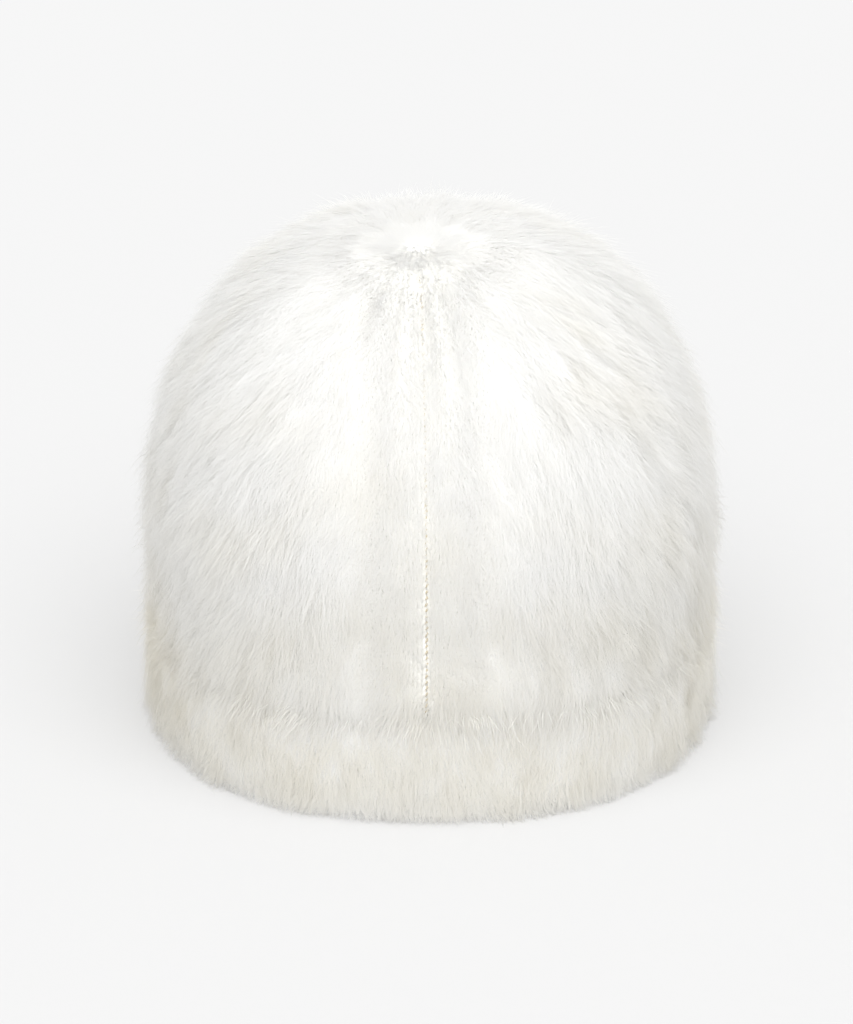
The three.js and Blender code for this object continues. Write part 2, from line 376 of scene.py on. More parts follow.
# %% Grids that close into a wall
def wall_mesh(name, inside, outside, uv_scale, nap):
    """A closed wall between two sheets of points (rows, columns, 3) that go right round.

    The sheets' own faces, the band between their first rows and the band between their last rows.
    The attribute nap says how far fibre covers the stitches, from 0 to 1 on the outside.
    """
    rows, columns = outside.shape[:2]
    points = np.concatenate([inside.reshape(-1, 3), outside.reshape(-1, 3)])
    index = np.arange(rows * columns).reshape(rows, columns)
    here, right = index, np.roll(index, -1, axis=1)
    shell = rows * columns
    low, high = slice(0, rows - 1), slice(1, rows)
    outer = np.stack([here[low], right[low], right[high], here[high]], axis=-1) + shell
    inner = np.stack([here[low], here[high], right[high], right[low]], axis=-1)
    foot = np.stack([here[0], right[0], right[0] + shell, here[0] + shell], axis=-1)
    head = np.stack([here[-1] + shell, right[-1] + shell, right[-1], here[-1]], axis=-1)
    faces = np.concatenate([part.reshape(-1, 4) for part in (outer, inner, foot, head)])

    # The pattern's coordinates: columns of stitches round the hat and metres of path up it.
    # Each sheet counts its own path, so a step of the outside doesn't squeeze the inside's stitches.
    paths = []
    for sheet in (inside, outside):
        rise = np.linalg.norm(np.diff(sheet, axis=0), axis=-1).mean(axis=1)
        path = np.concatenate([[0], np.cumsum(rise)])
        paths.append(np.repeat(path, columns))
    turns = np.broadcast_to(np.arange(columns) / columns, (rows, columns))
    u = np.concatenate([turns.ravel(), turns.ravel()])[faces]
    u = np.where(u < u.max(axis=1, keepdims=True) - 0.5, u + 1, u)
    v = np.concatenate(paths)[faces]
    uv = np.stack([u * uv_scale[0], v * uv_scale[1]], axis=-1)
    sizes = np.full(len(faces), 4)
    piece = link_mesh(name, points, faces.ravel(), sizes, uv.reshape(-1, 2), uv_name=KNIT_MAP)
    piece.data.polygons.foreach_set("material_index", np.repeat([0, 1, 0], [
        outer.size // 4,
        inner.size // 4,
        (foot.size + head.size) // 4,
    ]))
    cover = piece.data.attributes.new("nap", "FLOAT", "POINT")
    values = np.concatenate([np.zeros(shell), np.broadcast_to(nap, (rows, columns)).ravel()])
    cover.data.foreach_set("value", values.astype(np.float32))
    return piece


WALES_ROUND = 226
COURSE = 1.9 * MM
print("wales round the hat:", WALES_ROUND)

# %% Knit material
V_BEND = 1.3
PURL_WAVE = 0.2


def jersey_material(name, bare, furry, purl=False):
    """Knit on the piece's UV map, where u counts wales and v counts courses.

    The outside shows a V: across each wale the course line is bent down by its distance from the middle.
    The inside shows purl bumps: the course line waves up and down once in each wale.
    Where the attribute nap is 1, fine fibre noise stretched along the wales takes the stitches' place.
    The colours are two pairs, for bare stitches and for brushed fibre, each a high and a low place's.
    The darker low places' colour is painted shade in the hollows.
    """
    material, nodes, links, shader = dull_material(name, roughness=0.95, shine=0.1)

    def maths(operation, first, second=None):
        node = nodes.new("ShaderNodeMath")
        node.operation = operation
        for socket, value in zip(node.inputs, (first, second)):
            if isinstance(value, (int, float)):
                socket.default_value = value
            elif value is not None:
                links.new(value, socket)
        return node.outputs[0]

    uv = nodes.new("ShaderNodeUVMap")
    uv.uv_map = KNIT_MAP
    split = nodes.new("ShaderNodeSeparateXYZ")
    links.new(uv.outputs["UV"], split.inputs["Vector"])
    wale = maths("FRACT", split.outputs["X"])
    from_middle = maths("ABSOLUTE", maths("SUBTRACT", wale, 0.5))
    if purl:
        wave = maths("COSINE", maths("MULTIPLY", split.outputs["X"], 2 * math.pi))
        bent = maths("ADD", split.outputs["Y"], maths("MULTIPLY", wave, PURL_WAVE))
        along = maths("SINE", maths("MULTIPLY", bent, 2 * math.pi))
        stitch = maths("ADD", maths("MULTIPLY", along, 0.5), 0.5)
    else:
        bent = maths("SUBTRACT", split.outputs["Y"], maths("MULTIPLY", from_middle, V_BEND))
        along = maths("SINE", maths("MULTIPLY", bent, 2 * math.pi))
        across = maths("SINE", maths("MULTIPLY", from_middle, 2 * math.pi))
        stitch = maths("MULTIPLY", maths("ADD", maths("MULTIPLY", along, 0.5), 0.5), across)
    fibre = nodes.new("ShaderNodeTexNoise")
    fibre.inputs["Scale"].default_value = 6.0
    fibre.inputs["Detail"].default_value = 4
    stretch = nodes.new("ShaderNodeMapping")
    stretch.inputs["Scale"].default_value = (2.2, 0.25, 1.0)
    links.new(uv.outputs["UV"], stretch.inputs["Vector"])
    links.new(stretch.outputs["Vector"], fibre.inputs["Vector"])
    nap = nodes.new("ShaderNodeAttribute")
    nap.attribute_name = "nap"
    covered = nodes.new("ShaderNodeMix")
    links.new(nap.outputs["Fac"], covered.inputs["Factor"])
    links.new(stitch, covered.inputs["A"])
    links.new(fibre.outputs["Fac"], covered.inputs["B"])
    height = covered.outputs["Result"]
    bump = nodes.new("ShaderNodeBump")
    bump.inputs["Strength"].default_value = 0.9
    bump.inputs["Distance"].default_value = 0.8 * MM
    links.new(height, bump.inputs["Height"])
    links.new(bump.outputs["Normal"], shader.inputs["Normal"])
    # The low places take the darker colour of each pair: painted shade in the hollows.
    raised = maths("MINIMUM", maths("MULTIPLY", height, 2.0), 1.0)
    tones = [colour_between(nodes, links, raised, low, high) for high, low in (bare, furry)]
    colour = colour_between(nodes, links, nap.outputs["Fac"], *tones)
    links.new(colour, shader.inputs["Base Color"])
    return material


# Each pair is a high place's colour and a low place's darker one, which is painted shade in the hollows.
BARE_TONES = ((0.935, 0.93, 0.905), (0.905, 0.895, 0.865))
FURRY_TONES = ((0.965, 0.963, 0.95), (0.945, 0.94, 0.92))
knit_outside = jersey_material("jersey_knit", BARE_TONES, FURRY_TONES)
knit_inside = jersey_material("purl_knit", BARE_TONES, FURRY_TONES, purl=True)
print("knits:", knit_outside.name, "and", knit_inside.name)

# %% [markdown]
# ## The crown
# The crown is a tube of knit that is drawn in at the top. Its rows of points stand closer where
# it meets the cuff's top edge, since the wall steps out there to cover that edge.

# %% Crown wall
CROWN_COLUMNS = 160
DOME_ROWS = 44
EYELET = 3.0 * MM
RIM_TO_GATHER = 97 * MM
wall_climbs = np.array([3.6, 18, 30, 33.8, 35.1, 37, 40, 44, 48, 52, 57]) * MM / SHOULDER
dome_climbs = 1 + np.linspace(0, 1, DOME_ROWS)[:-1] ** 0.95
eyelet_climb = 1 + 2 / math.pi * math.acos((EYELET / RIM_TO_GATHER) ** (DOME_POWER / 2))
crown_climbs = np.concatenate([wall_climbs, dome_climbs[dome_climbs < eyelet_climb - 0.01], [eyelet_climb]])
crown_azimuths = np.arange(CROWN_COLUMNS) * 360 / CROWN_COLUMNS + SEAM_AZIMUTH
crown_grid = (crown_azimuths[None, :], crown_climbs[:, None])
above_cuff = smoothstep(crown_grid[1] * SHOULDER, CUFF_HEIGHT - 1.1 * MM, CUFF_HEIGHT)
crown_outside = hat_surface(*crown_grid, KNIT + (nap_offset(*crown_grid) - KNIT) * above_cuff)
crown_inside = hat_surface(*crown_grid, 0.0)
crown_nap = smoothstep(fullness(*crown_grid), 0.05, 0.8)
crown = wall_mesh("knit_crown", crown_inside, crown_outside, (WALES_ROUND, 1 / COURSE), crown_nap)
finish_piece(crown, [knit_outside, knit_inside], "ground_knit", "crown")

# %% [markdown]
# ## The cuff
# The knit folds up at the rim and lies outside the crown. The section through that fold is drawn
# once, as a path, and carried round the hat, so rim and top edge are rounded all the way.

# %% Cuff
CUFF_COLUMNS = 160
CLEARANCE = 0.3 * MM
LEAF_INSIDE = KNIT + CLEARANCE
LEAF_OUTSIDE = LEAF_INSIDE + KNIT
CUFF_NAP = 2.8 * MM
ROUNDING = 1.4 * MM
ARC_POINTS = 5
LEAF_TOP = 33 * MM


def cuff_bulge(height):
    """The matted fibre on the cuff: full in the middle, and less at its edges by a steep power."""
    from_middle = np.abs(2 * height / CUFF_HEIGHT - 1).clip(0, 1)
    return CUFF_NAP * (1 - from_middle ** 3.5)


def rounded(centre_offset, centre_height, start, end):
    """Points (offset, height) of an arc, from one angle to another in degrees, 0 being outwards."""
    angles = np.radians(np.linspace(start, end, ARC_POINTS))
    arc = ROUNDING * np.stack([np.cos(angles), np.sin(angles)], -1)
    return arc + [centre_offset, centre_height]


bulge_heights = np.linspace(4 * MM, LEAF_TOP, 8)
outer_path = np.concatenate([
    rounded(ROUNDING, ROUNDING, 225, 270),
    rounded(LEAF_OUTSIDE - ROUNDING, ROUNDING, 270, 360),
    np.stack([LEAF_OUTSIDE + cuff_bulge(bulge_heights), bulge_heights], -1),
    rounded(LEAF_OUTSIDE - ROUNDING, CUFF_HEIGHT - ROUNDING, 0, 90),
])
inner_path = np.concatenate([
    rounded(ROUNDING, ROUNDING, 225, 180),
    np.array([[0, 2.0 * MM], [0, 3.2 * MM], [0.8 * LEAF_INSIDE, 3.2 * MM], [LEAF_INSIDE, 3.6 * MM]]),
    np.stack([np.full(9, LEAF_INSIDE), np.linspace(7 * MM, LEAF_TOP, 9)], -1),
    rounded(LEAF_INSIDE + ROUNDING, CUFF_HEIGHT - ROUNDING, 180, 90),
])


def swept_path(path, azimuth):
    """A path of (offset, height) carried round the hat."""
    x, y = rim_point(azimuth[None, :], path[:, :1])
    z = np.broadcast_to(path[:, 1:], x.shape)
    return np.stack([x, y, z], axis=-1)


cuff_azimuths = np.arange(CUFF_COLUMNS) * 360 / CUFF_COLUMNS
cuff_sheets = [swept_path(path, cuff_azimuths) for path in (inner_path, outer_path)]
cuff = wall_mesh("knit_cuff", *cuff_sheets, (WALES_ROUND, 1 / COURSE), 1.0)
finish_piece(cuff, [knit_outside, knit_inside], "ground_knit", "cuff")

# %% [markdown]
# ## Yarn
# Where the pile is thin the eye sees single stitches. A jersey stitch shows as a V, and each leg of
# the V is a plump bit of yarn that dives under the stitch above. A leg is a short closed tube here,
# and the legs of each place are joined in one mesh.

# %% Plump bits of yarn
YARN_SIDES = 5
YARN_RINGS = 4


def yarn_legs(start, middle, end, normal, thick, flat):
    """Closed spindles along curves through three points each.

    The centre line is the parabola through the points. The radius is thick times the root of the sine
    of how far along it is, squashed towards the surface by flat. Both ends close in a point.
    """
    count = len(start)
    share = np.linspace(0, 1, YARN_RINGS + 2)[None, :, None]
    a, b, c = start[:, None], middle[:, None], end[:, None]
    line = a * (1 - share) * (1 - 2 * share) + b * 4 * share * (1 - share) + c * share * (2 * share - 1)
    ahead = unit(np.gradient(line, axis=1))
    side = unit(np.cross(ahead, normal[:, None, :]))
    lift = unit(np.cross(side, ahead))
    turn = np.arange(YARN_SIDES) * 2 * math.pi / YARN_SIDES
    radius = thick[:, None, None, None] * np.sqrt(np.sin(math.pi * share[:, 1:-1, :, None].clip(0, 1)))
    ring = side[:, 1:-1, None] * np.cos(turn)[None, None, :, None]
    ring = ring + flat * lift[:, 1:-1, None] * np.sin(turn)[None, None, :, None]
    rings = line[:, 1:-1, None] + radius * ring
    body = rings.reshape(count, YARN_RINGS * YARN_SIDES, 3)
    points = np.concatenate([body, line[:, :1], line[:, -1:]], axis=1)

    index = np.arange(YARN_RINGS * YARN_SIDES).reshape(YARN_RINGS, YARN_SIDES)
    turned = np.roll(index, -1, axis=1)
    quads = np.stack([index[:-1], turned[:-1], turned[1:], index[1:]], axis=-1).reshape(-1)
    foot = np.stack([turned[0], index[0], np.full(YARN_SIDES, YARN_RINGS * YARN_SIDES)], axis=-1).reshape(-1)
    tip = np.stack([index[-1], turned[-1], np.full(YARN_SIDES, YARN_RINGS * YARN_SIDES + 1)], -1).reshape(-1)
    pattern = np.concatenate([quads, foot, tip])
    sizes = np.array([4] * ((YARN_RINGS - 1) * YARN_SIDES) + [3] * (2 * YARN_SIDES))
    corners = (np.arange(count)[:, None] * points.shape[1] + pattern[None, :]).ravel()
    return points.reshape(-1, 3), corners, np.tile(sizes, count)


print("triangles in one bit of yarn:", 2 * YARN_SIDES * YARN_RINGS)


# %% Yarn material
def yarn_material(name, colour, shade):
    """Twisted fibres: a fine noise in object coordinates mottles the colour and roughens the surface."""
    material, nodes, links, shader = dull_material(name, roughness=0.95, shine=0.1)
    place = nodes.new("ShaderNodeTexCoord")
    noise = nodes.new("ShaderNodeTexNoise")
    noise.inputs["Scale"].default_value = 900
    noise.inputs["Detail"].default_value = 3
    links.new(place.outputs["Object"], noise.inputs["Vector"])
    mottled = colour_between(nodes, links, noise.outputs["Fac"], shade, colour)
    links.new(mottled, shader.inputs["Base Color"])
    bump = nodes.new("ShaderNodeBump")
    bump.inputs["Strength"].default_value = 0.5
    bump.inputs["Distance"].default_value = 0.3 * MM
    links.new(noise.outputs["Fac"], bump.inputs["Height"])
    links.new(bump.outputs["Normal"], shader.inputs["Normal"])
    return material


loop_yarn = yarn_material("loop_yarn", (0.93, 0.925, 0.90), (0.885, 0.875, 0.84))
gather_yarn = yarn_material("gather_yarn", (0.97, 0.965, 0.945), (0.93, 0.92, 0.89))
# The seam thread's dark yellow-brown is partly its own colour and partly painted shade of the cleft along
# the seam.
seam_yarn = yarn_material("seam_yarn", (0.74, 0.67, 0.52), (0.54, 0.46, 0.31))
print("yarns:", loop_yarn.name, gather_yarn.name, seam_yarn.name)

# %% [markdown]
# ## The seam and the stitches beside it
# The knit's two edges are sewn together up the centre back, and the pile parts along that line.
# Five wales on either side are real loops, a little uneven, because no knitting is quite even.
# The sewing thread shows as a row of small slanting stitches between them.

# %% Stitches beside the seam
WALE = 2.6 * MM
STITCH = 1.9 * MM
STITCHED_WALES = 5
# Three points of one leg of a V: sideways in mm, up in stitches, and above the knit in mm.
LEG = ((0.2, 0, -0.1), (0.7, 0.75, 0.2), (1.05, 1.55, -0.25))
chance = np.random.default_rng(7)


def azimuth_beside_seam(sideways, climb):
    """The azimuth at a distance sideways from the seam: the arc over the plan's radius there."""
    radius = share_of_meridian(climb) * (HALF_DEPTH + KNIT)
    return SEAM_AZIMUTH + np.degrees(sideways / radius)


seam_climbs = np.linspace(CUFF_HEIGHT / SHOULDER, 1.93, 400)
seam_line = hat_surface(SEAM_AZIMUTH, seam_climbs, KNIT)
seam_path = np.concatenate([[0], np.cumsum(np.linalg.norm(np.diff(seam_line, axis=0), axis=-1))])


def beside_seam(sideways, along, above):
    """A point above the knit from its distance sideways and its distance up the seam from the cuff."""
    climb = np.interp(along, seam_path, seam_climbs)
    sunk = 0.5 * MM * smoothstep(np.abs(sideways), 3 * MM, 13 * MM)
    return hat_surface(azimuth_beside_seam(sideways, climb), climb, ground_offset(climb) + above - sunk)


courses = np.arange(2, int((seam_path[-1] - 2 * MM) / STITCH))
wales = np.concatenate([np.arange(-STITCHED_WALES, 0) + 0.5, np.arange(STITCHED_WALES) + 0.5]) * WALE
wale, course = [grid.ravel() for grid in np.meshgrid(wales, courses)]
hand = np.repeat([-1.0, 1.0], len(wale))
wale, course = np.tile(wale, 2), np.tile(course, 2)
up = (course + 0.5 * (np.round(wale / WALE - 0.5) % 2) + 0.12 * chance.normal(size=len(course))) * STITCH
across = wale + 0.3 * MM * (wale > 0) + 0.1 * MM * chance.normal(size=len(wale))
stitches = len(up)
legs = [beside_seam(across + hand * out * MM, up + high * STITCH, above * MM) for out, high, above in LEG]
leg_normal = unit(beside_seam(across, up, 2 * MM) - beside_seam(across, up, 0))
edge = np.abs(wale + 0.5 * WALE) < 0.1 * MM
leg_thickness = 0.66 * MM * (1 + 0.15 * edge) * chance.uniform(0.85, 1.15, stitches)
seam_side_loops = link_mesh(
    "seam_side_loops",
    *yarn_legs(*legs, leg_normal, leg_thickness, 0.7),
)
finish_piece(seam_side_loops, [loop_yarn], "ground_knit")

# %% The sewn seam
rows = np.arange(1, int((seam_path[-1] - 4 * MM) / STITCH)) * STITCH
slant = chance.normal(size=len(rows)) * 0.2 * MM
ones = np.ones(len(rows))
seam_start = beside_seam(-0.4 * MM * ones, rows + slant, 0.2 * MM)
seam_middle = beside_seam(0.2 * MM * ones, rows + 0.6 * MM, 0.4 * MM)
seam_end = beside_seam(0.8 * MM * ones, rows + 1.3 * MM - slant, 0.1 * MM)
seam_normal = unit(beside_seam(0 * ones, rows, 2 * MM) - beside_seam(0 * ones, rows, 0))
seam_thickness = 0.36 * MM * chance.uniform(0.85, 1.15, len(rows))
back_seam = link_mesh(
    "sewn_seam",
    *yarn_legs(seam_start, seam_middle, seam_end, seam_normal, seam_thickness, 0.9),
)
finish_piece(back_seam, [seam_yarn], "seam_yarn", "back_seam")

# %% [markdown]
# ## The gather
# At the top the knit is drawn together, and its stitches crowd and turn towards the middle. Rings of
# loops that point inwards give that pebbly patch. Under them a thin pleated lens closes the eyelet.

# %% Stitches drawn in about the gather
RING_RANGE = (1.6, 26.0, 1.9)
LOOP_STEP = 2.7 * MM
rings = np.arange(*RING_RANGE) * MM
counts = np.round(2 * math.pi * rings / LOOP_STEP).astype(int)
ring = np.repeat(rings, counts)
turn = np.concatenate([np.arange(n) / n * 360 + chance.uniform(0, 30) for n in counts])


def about_gather(distance, azimuth, offset):
    """A point of the dome at a plan distance from the gather, on the meridian of an azimuth."""
    x, y = rim_point(azimuth, KNIT)
    share = distance / np.hypot(x - GATHER[0], y - GATHER[1])
    climb = 1 + 2 / math.pi * np.arccos(share ** (DOME_POWER / 2))
    return hat_surface(azimuth, climb, offset)


ring = np.tile(ring, 2) + 0.35 * MM * chance.normal(size=2 * len(ring))
turn = np.tile(turn, 2)
hand = np.repeat([-1.0, 1.0], len(turn) // 2)
spread = np.degrees(0.65 * MM / ring)
raised = 0.8 * MM * np.exp(-((ring / (9 * MM)) ** 2))
loop_start = about_gather(ring + 1.5 * MM, turn + hand * 0.3 * spread, KNIT + 0.1 * MM + raised)
loop_middle = about_gather(ring, turn + hand * 1.0 * spread, KNIT + 0.35 * MM + raised)
loop_end = about_gather((ring - 1.4 * MM).clip(0.2 * MM), turn + hand * 1.4 * spread, KNIT + raised)
loop_normal = unit(about_gather(ring, turn, KNIT + 2 * MM) - about_gather(ring, turn, KNIT))
loop_thickness = 0.85 * MM * chance.uniform(0.8, 1.2, len(ring))
gather_loops = link_mesh(
    "gather_loops",
    *yarn_legs(loop_start, loop_middle, loop_end, loop_normal, loop_thickness, 0.5),
)
finish_piece(gather_loops, [gather_yarn], "ground_knit")

# %% The puckered end of the gather
KNOT_RADIUS = 8 * MM
PLEATS = 11


def gather_knot_mesh():
    """A thin lens over the eyelet, whose foot follows the dome.

    Its top swells by 1 less the fourth power of its share of the radius, less a bell in the middle,
    and has pleats, which are a cosine round it.
    """
    radius = np.linspace(0.02, 1, 12)[:, None] * KNOT_RADIUS
    azimuth = np.arange(66)[None, :] * 360 / 66
    share = radius / KNOT_RADIUS
    pleat = 0.35 * MM * np.cos(np.radians(PLEATS * azimuth)) * share * (1 - share ** 4) * 2
    swell = 0.4 * MM * (1 - share ** 4) - 0.25 * MM * np.exp(-((share / 0.2) ** 2))
    top = about_gather(radius, azimuth, KNIT + 0.15 * MM + swell + pleat)
    foot = about_gather(radius, azimuth, KNIT + 0.05 * MM)
    return wall_mesh("gather_knot", foot[::-1], top[::-1], (PLEATS, 3 / COURSE), 0.5)


finish_piece(gather_knot_mesh(), [knit_outside, knit_inside], "ground_knit", "crown_gather")

# %% [markdown]
# ## The pile
# Long-pile knit carries fine fibres in every stitch. A hair is a narrow ribbon of one or two spans
# that ends in a point, rises from the knit and bends over the way it was brushed. Hairs gather in
# locks, more so towards their tips. Real fur passes light from hair to hair, which evens it out,
# so the ribbons take most of their shading normals from the hat below them.

# %% Soft random fields
def wave_field(seed, scale, count=12):
    """A smooth random field: a sum of sine waves with random directions, all of about one wavelength."""
    random = np.random.default_rng(seed)
    ways = unit(random.normal(size=(count, 3))) * (2 * math.pi / scale)
    ways *= random.uniform(0.6, 1.5, size=(count, 1))
    phases = random.uniform(0, 2 * math.pi, count)
    return lambda points: np.sin(points @ ways.T + phases).sum(axis=-1) / math.sqrt(count / 2)


sway = wave_field(11, 40 * MM)
flick = wave_field(12, 14 * MM)
shag = wave_field(13, 22 * MM)
blotch = wave_field(14, 45 * MM)
print("sway at the camera's aim:", round(float(sway(np.array(AIM))), 2))

# %% Scattering roots over the hat
def scatter(count, climbs, density, chance):
    """Random places, as many to the area as density says.

    The surface is cut in small cells. Each cell's weight is its area times the density there,
    and evenly spaced shares of the total weight pick the cells.
    """
    columns, rows = 720, 420
    azimuth = (np.arange(columns) + 0.5) * 360 / columns - 180
    climb = np.linspace(*climbs, rows + 1)
    middle = (climb[1:] + climb[:-1]) / 2
    corners = hat_surface(np.arange(columns + 1)[None, :] * 360 / columns - 180, climb[:, None], KNIT)
    round_edge = corners[:-1, 1:] - corners[:-1, :-1]
    up_edge = corners[1:, :-1] - corners[:-1, :-1]
    area = np.linalg.norm(np.cross(round_edge, up_edge), axis=-1)
    weight = (area * density(azimuth[None, :], middle[:, None])).ravel()
    total = np.cumsum(weight)
    picks = (np.arange(count) + chance.random(count)) / count * total[-1]
    cell = np.searchsorted(total, picks).clip(0, len(total) - 1)
    row, column = np.divmod(cell, columns)
    azimuths = azimuth[column] + (chance.random(count) - 0.5) * 360 / columns
    climbs = middle[row] + (chance.random(count) - 0.5) * (climb[1] - climb[0])
    return azimuths, climbs


# %% Growing hairs
TURN_SPREAD = math.radians(15)
RISE_SPREAD = math.radians(9)
FALL_SPREAD = math.radians(8)
ROLL = math.radians(32)
TONE_SPREAD = 0.06
WIDTH_RANGE = (0.7, 1.3)
SOFTNESS = 0.94


def grow(root, normal, flow, length, rise, fall, spans):
    """Centre lines of hairs (n, spans + 1, 3).

    A hair leaves the surface at the angle rise and ends at the angle fall, both in radians.
    Its line is the running sum of short steps whose angle goes from one to the other.
    """
    fine = 4 * spans
    share = (np.arange(fine) + 0.5) / fine
    angle = rise[:, None] + (fall - rise)[:, None] * share[None, :] ** 0.7
    along = np.cos(angle)[..., None] * flow[:, None, :]
    steps = along + np.sin(angle)[..., None] * normal[:, None, :]
    path = np.cumsum(steps, axis=1) * (length / fine)[:, None, None]
    path = np.concatenate([np.zeros((len(root), 1, 3)), path], axis=1)[:, ::4]
    return root[:, None, :] + path


def combed(locks, per_lock, spread, keep, spans, chance):
    """Hairs scattered about the middle of each lock, and drawn towards its middle hair near their tips."""
    def each(values):
        return np.repeat(values, per_lock, axis=0)

    count = len(locks["point"]) * per_lock
    normal, flow, length = each(locks["normal"]), each(locks["flow"]), each(locks["length"])
    sideways = np.cross(flow, normal)
    shift = chance.normal(size=(count, 2)) * spread
    root = each(locks["point"]) + shift[:, :1] * sideways + shift[:, 1:] * flow
    turn = TURN_SPREAD * chance.normal(size=count)
    own_flow = np.cos(turn)[:, None] * flow + np.sin(turn)[:, None] * sideways
    own_length = length * chance.uniform(0.62, 1.18, count)
    rise = each(locks["rise"]) + RISE_SPREAD * chance.normal(size=count)
    fall = each(locks["fall"]) + FALL_SPREAD * chance.normal(size=count)
    lines = grow(root, normal, own_flow, own_length, rise, fall, spans)
    middle = [locks[key] for key in ("point", "normal", "flow", "length", "rise", "fall")]
    middle = each(grow(*middle, spans))
    pull = keep * each(chance.uniform(0.2, 1.0, len(locks["point"])))[:, None]
    pull = pull * (np.arange(spans + 1) / spans)[None, :] ** 1.4
    lines = lines + pull[..., None] * (middle - lines)
    roll = ROLL * chance.uniform(-1, 1, count)
    side = unit(np.cross(own_flow, normal))
    side = np.cos(roll)[:, None] * side + np.sin(roll)[:, None] * normal
    tone = each(locks["tone"]) + TONE_SPREAD * chance.normal(size=count)
    return {"lines": lines, "side": side, "normal": normal, "tone": tone.clip(0.03, 0.97),
            "azimuth": each(locks["azimuth"])}


def ribbons(name, hairs, width):
    """Joined ribbons: quads along each hair and a triangle at its tip.

    Each point of a line gives a left and a right corner, half the width to either side.
    u is the hair's tone and v runs from 0 at the root to 1 at the tip.
    A corner's shading normal is mostly the hat's, and for the rest the ribbon's own.
    """
    lines, side, tone = hairs["lines"], hairs["side"], hairs["tone"]
    count, knots = lines.shape[:2]
    spans = knots - 1
    taper = np.interp(np.arange(spans) / spans, [0, 0.3, 1], [0.75, 1.0, 0.45])
    half = 0.5 * width[:, None, None] * taper[None, :, None]
    left = lines[:, :spans] - side[:, None, :] * half
    right = lines[:, :spans] + side[:, None, :] * half
    pairs = np.stack([left, right], axis=2).reshape(count, 2 * spans, 3)
    points = np.concatenate([pairs, lines[:, -1:]], axis=1)
    each = 2 * spans + 1
    quads = [[2 * k, 2 * k + 1, 2 * k + 3, 2 * k + 2] for k in range(spans - 1)]
    pattern = np.array([*sum(quads, []), 2 * spans - 2, 2 * spans - 1, 2 * spans])
    corners = (np.arange(count)[:, None] * each + pattern[None, :]).ravel()
    sizes = np.tile([4] * (spans - 1) + [3], count)
    along = np.concatenate([np.repeat(np.arange(spans) / spans, 2), [1.0]])
    beside = np.concatenate([np.tile([-0.012, 0.012], spans), [0.0]])
    u = (tone[:, None] + beside[None, pattern]).ravel()
    uv = np.stack([u, np.tile(along[pattern], count)], axis=-1)
    tangent = np.diff(lines, axis=1)
    own = unit(np.cross(side[:, None, :], tangent))
    lit = unit(SOFTNESS * hairs["normal"][:, None, :] + (1 - SOFTNESS) * own)
    lit = np.concatenate([np.repeat(lit, 2, axis=1), lit[:, -1:]], axis=1).reshape(-1, 3)
    return link_mesh(name, points.reshape(-1, 3), corners, sizes, uv, lit)


def fur_sectors(name, hairs, width, material, slot, node, chance, sectors=1):
    """One joined mesh for each sector round the hat, so that no piece grows too large.

    A hair's width is the given one times a random share.
    """
    widths = width * chance.uniform(*WIDTH_RANGE, len(hairs["tone"]))
    sector = ((hairs["azimuth"] + 180) % 360 / 360 * sectors).astype(int).clip(0, sectors - 1)
    for number in range(sectors):
        mine = sector == number
        part = {key: value[mine] for key, value in hairs.items()}
        label = f"{name}_{number + 1}" if sectors > 1 else name
        finish_piece(ribbons(label, part, widths[mine]), [material], slot, node)


print("share of the hat's own normal in a hair's:", SOFTNESS)

# %% [markdown]
# ## The fur of the crown
# White fibre lets light through to the fibres below it, so half of the light passes through a hair.
# Wide, short hairs make a dense bed, and thin, long ones lie over it like the long fibres of brushed
# pile. They are brushed down the hat and away from the seam.

# %% Fur material
TRANSLUCENT_SHARE = 0.5


def fur_material(name, pale, cream):
    """Tone along u from pale to cream, with some of the light let through to the hairs below."""
    material, nodes, links, shader = dull_material(name, roughness=0.9, shine=0.1)
    uv = nodes.new("ShaderNodeUVMap")
    uv.uv_map = FUR_MAP
    split = nodes.new("ShaderNodeSeparateXYZ")
    links.new(uv.outputs["UV"], split.inputs["Vector"])
    tone = colour_between(nodes, links, split.outputs["X"], pale, cream)
    links.new(tone, shader.inputs["Base Color"])
    through = nodes.new("ShaderNodeBsdfTranslucent")
    links.new(tone, through.inputs["Color"])
    mixed = nodes.new("ShaderNodeMixShader")
    mixed.inputs["Fac"].default_value = TRANSLUCENT_SHARE
    links.new(shader.outputs["BSDF"], mixed.inputs[1])
    links.new(through.outputs["BSDF"], mixed.inputs[2])
    links.new(mixed.outputs["Shader"], nodes["Material Output"].inputs["Surface"])
    return material


crown_fur = fur_material("crown_fur", (0.985, 0.985, 0.98), (0.94, 0.92, 0.86))
print("fur:", crown_fur.name)

# %% Crown pile
LEAN = math.radians(25)


def brushed(azimuth, climb, down, normal, points, chance):
    """The direction of the pile: part down the meridian and part straight downhill.

    It leans away from the seam on the wall, and sways softly from place to place and lock to lock.
    Downhill is minus Z with its share along the normal taken off.
    """
    downhill = np.array([0.0, 0.0, -1.0]) + normal[:, 2:] * normal
    hang = 0.75 * smoothstep(from_gather(azimuth, climb), 12 * MM, 50 * MM)[:, None]
    way = unit((1 - hang) * down + hang * unit(downhill))
    aside = np.cross(normal, way)
    low = 1 - smoothstep(climb, 1.05, 1.8)
    lean = LEAN * low * np.sin(np.radians(azimuth - SEAM_AZIMUTH))
    lean = lean + np.radians(8) * sway(points) + np.radians(7) * flick(points)
    lean = lean + np.radians(7) * chance.normal(size=len(lean))
    return unit(np.cos(lean)[:, None] * way + np.sin(lean)[:, None] * aside)


def painted_hem_shade(azimuth, height):
    """Creamier fur as painted shade under the crown's edge at each side: a bell round times a bell up."""
    total = 0
    for centre, wide, middle, tall, strength in ((-71, 20, 31, 15, 1.0), (76, 18, 38, 14, 0.4)):
        turn = (azimuth - centre + 180) % 360 - 180
        total = total + strength * np.exp(-(turn / wide) ** 2 - ((height / MM - middle) / tall) ** 2)
    return total


